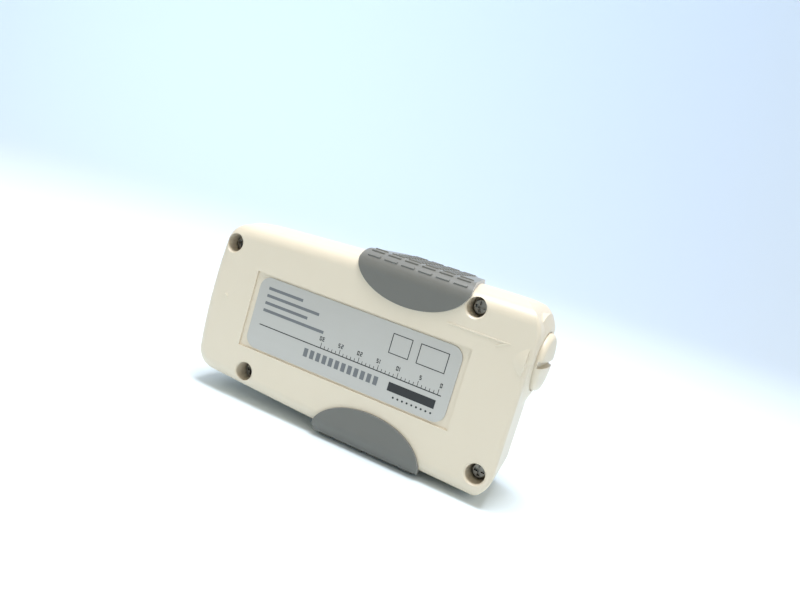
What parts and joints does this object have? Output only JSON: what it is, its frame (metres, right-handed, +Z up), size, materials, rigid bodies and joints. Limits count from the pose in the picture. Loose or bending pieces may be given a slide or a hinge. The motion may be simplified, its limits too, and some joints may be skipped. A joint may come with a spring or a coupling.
{
  "type": "handheld digital refractometer",
  "caption": "Pocket refractometer with a dished prism stage, small display, push keys, rubber side grips and a screw-in battery cap; a sample's drop goes in the dish.",
  "frame": {"origin": "middle of the overall bounding box, on the plane the lower grip stands on", "axes": "+X from the sample head to the battery cap, +Y from the back to the key face, +Z up across the width"},
  "size_m": [0.109, 0.031, 0.059],
  "materials": {
    "case_plastic": "fine matt moulded",
    "grip_rubber": "soft matt",
    "label_film": "satin silver film",
    "steel_screws": "zinc plated",
    "seal_rubber": "smooth",
    "sleeve_plastic": "moulded",
    "cell_jacket": "printed film over the can",
    "nickel_contact": "nickel plated",
    "spring_steel": "bright wire",
    "circuit_board": "solder mask",
    "chip_epoxy": "moulded",
    "silicone": "smooth",
    "key_plastic": "satin",
    "display_glass": "polished",
    "window_acrylic": "polished",
    "panel_film": "satin film",
    "stage_steel": "polished",
    "optical_glass": "polished",
    "black_aluminium": "black anodised",
    "lamp_epoxy": "clear amber",
    "flex_film": "polyimide",
    "sensor_ceramic": "fired"
  },
  "bodies": {
    "instrument": {"back_case": "case_plastic", "front_case": "case_plastic", "case_seal": "seal_rubber", "case_screws": "steel_screws", "upper_grip": "grip_rubber", "lower_grip": "grip_rubber", "rating_label": "label_film", "battery_sleeve": "sleeve_plastic", "outer_cell": "cell_jacket", "inner_cell": "cell_jacket", "positive_contact": "nickel_contact", "negative_strip": "nickel_contact", "main_board": "circuit_board", "board_screws": "steel_screws", "board_chips": "chip_epoxy", "switch_domes": "nickel_contact", "key_gasket": "silicone", "lcd_connectors": "silicone", "lcd_glass": "display_glass", "lcd_frame": "sleeve_plastic", "lcd_window": "window_acrylic", "face_panel": "panel_film", "stage_ring": "stage_steel", "stage_seal": "seal_rubber", "prism": "optical_glass", "prism_seal": "seal_rubber", "prism_clamp": "black_aluminium", "optical_block": "black_aluminium", "led_lamp": "lamp_epoxy", "lamp_holder": "sleeve_plastic", "condenser_lens": "optical_glass", "slit_plate": "black_aluminium", "imaging_lens": "optical_glass", "line_sensor": "sensor_ceramic", "sensor_board": "circuit_board", "flex_cable": "flex_film", "thermistor": "chip_epoxy", "optics_screws": "steel_screws"},
    "cap_seal": {"cap_o_ring": "seal_rubber"},
    "cap": {"battery_cap": "case_plastic", "cap_contact": "nickel_contact", "cap_spring": "spring_steel"},
    "zero_button": {"zero_key": "key_plastic"},
    "start_button": {"start_key": "key_plastic"}
  },
  "joints": [
    {"name": "cap_draw", "type": "slide", "parent": "instrument", "child": "cap_seal", "axis": [1, 0, 0], "range_m": [0, 0.0045]},
    {"name": "cap_turn", "type": "hinge", "parent": "cap_seal", "child": "cap", "pos_m": [0.05, -0.0018, 0.0425], "axis": [1, 0, 0], "range_deg": [0, 1080]},
    {"name": "zero_press", "type": "slide", "parent": "instrument", "child": "zero_button", "axis": [0, -1, 0], "range_m": [0, 0.0007], "stiffness_N_per_m": 300, "springref_m": -0.001},
    {"name": "start_press", "type": "slide", "parent": "instrument", "child": "start_button", "axis": [0, -1, 0], "range_m": [0, 0.0007], "stiffness_N_per_m": 300, "springref_m": -0.001}
  ],
  "couplings": [
    {"joint": "cap_turn", "follows": "cap_draw", "rad_per_m": 4188.8}
  ]
}
